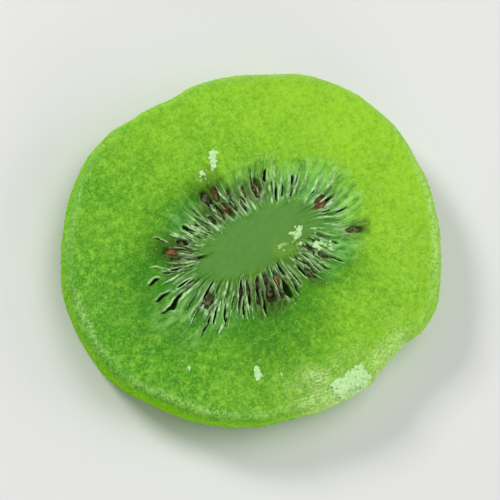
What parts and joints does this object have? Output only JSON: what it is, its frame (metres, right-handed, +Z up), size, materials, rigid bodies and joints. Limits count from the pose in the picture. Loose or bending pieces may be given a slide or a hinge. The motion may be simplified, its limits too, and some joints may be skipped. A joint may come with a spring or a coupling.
{
  "type": "dried kiwi slice",
  "caption": "Candied, dried kiwi slice with an oval pale core, a sunken ring of dark seeds between fine fibres, puffy green flesh and a soft uneven rim.",
  "frame": {"origin": "on the surface that the slice lies on, under the middle of its outline", "axes": "+X along the slice's longest way, close to the long way of the oval core; +Z up, out of the better face"},
  "size_m": [0.0486, 0.0436, 0.007],
  "materials": {
    "flesh": "soft translucent candied flesh, dull gloss under a fine dust of sugar",
    "seed": "dark brown to black, some reddish, slightly glossy",
    "fibre": "pale, moist threads and thin walls",
    "sugar": "fine white crystals tinted by the fruit"
  },
  "bodies": {
    "root": {"kiwi_slice": "flesh"}
  },
  "joints": []
}
